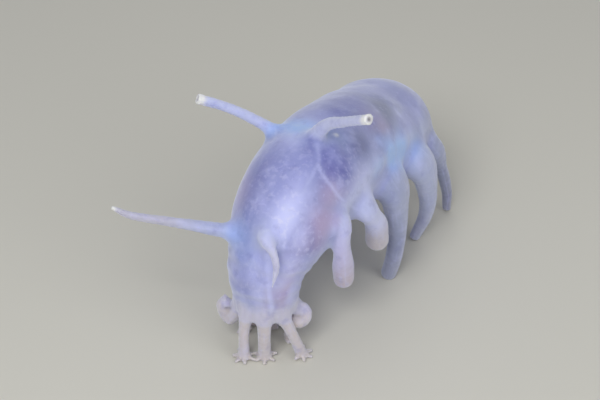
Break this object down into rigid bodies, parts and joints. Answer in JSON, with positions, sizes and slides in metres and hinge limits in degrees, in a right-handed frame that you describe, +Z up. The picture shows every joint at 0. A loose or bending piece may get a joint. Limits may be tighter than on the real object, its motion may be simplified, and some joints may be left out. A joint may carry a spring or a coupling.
{
  "type": "sea pig sea cucumber",
  "caption": "Still life-size model of a sea pig, a deep-sea sea cucumber, walking on tube feet with its head bent down to the floor and long soft papillae on its back.",
  "frame": {"origin": "on the floor under the middle of the whole model's bounding box", "axes": "+Z up, the head points along -Y, the tail along +Y, and the animal's left side is +X"},
  "size_m": [0.085, 0.1321, 0.0949],
  "materials": {
    "body_skin": "soft translucent skin, pale lavender blue with milky patches",
    "foot_skin": "soft translucent skin, pale blue-grey, whiter at the soles",
    "papilla_skin": "soft translucent skin, pale blue with chalk-white tips",
    "tentacle_skin": "soft translucent skin, pale grey-cream"
  },
  "bodies": {
    "root": {"head": "body_skin", "trunk_front": "body_skin", "trunk_middle": "body_skin", "trunk_rear": "body_skin", "foot_left_1": "foot_skin", "foot_left_2": "foot_skin", "foot_left_3": "foot_skin", "foot_left_4": "foot_skin", "foot_left_5": "foot_skin", "foot_right_1": "foot_skin", "foot_right_2": "foot_skin", "foot_right_3": "foot_skin", "foot_right_4": "foot_skin", "foot_right_5": "foot_skin", "papilla_front_right": "papilla_skin", "papilla_front_left": "papilla_skin", "papilla_rear_right": "papilla_skin", "papilla_rear_left": "papilla_skin", "tentacle_1": "tentacle_skin", "tentacle_2": "tentacle_skin", "tentacle_3": "tentacle_skin", "tentacle_4": "tentacle_skin", "tentacle_5": "tentacle_skin", "tentacle_6": "tentacle_skin", "tentacle_7": "tentacle_skin", "tentacle_8": "tentacle_skin", "tentacle_9": "tentacle_skin", "tentacle_10": "tentacle_skin", "mouth_lips": "tentacle_skin"}
  },
  "joints": []
}
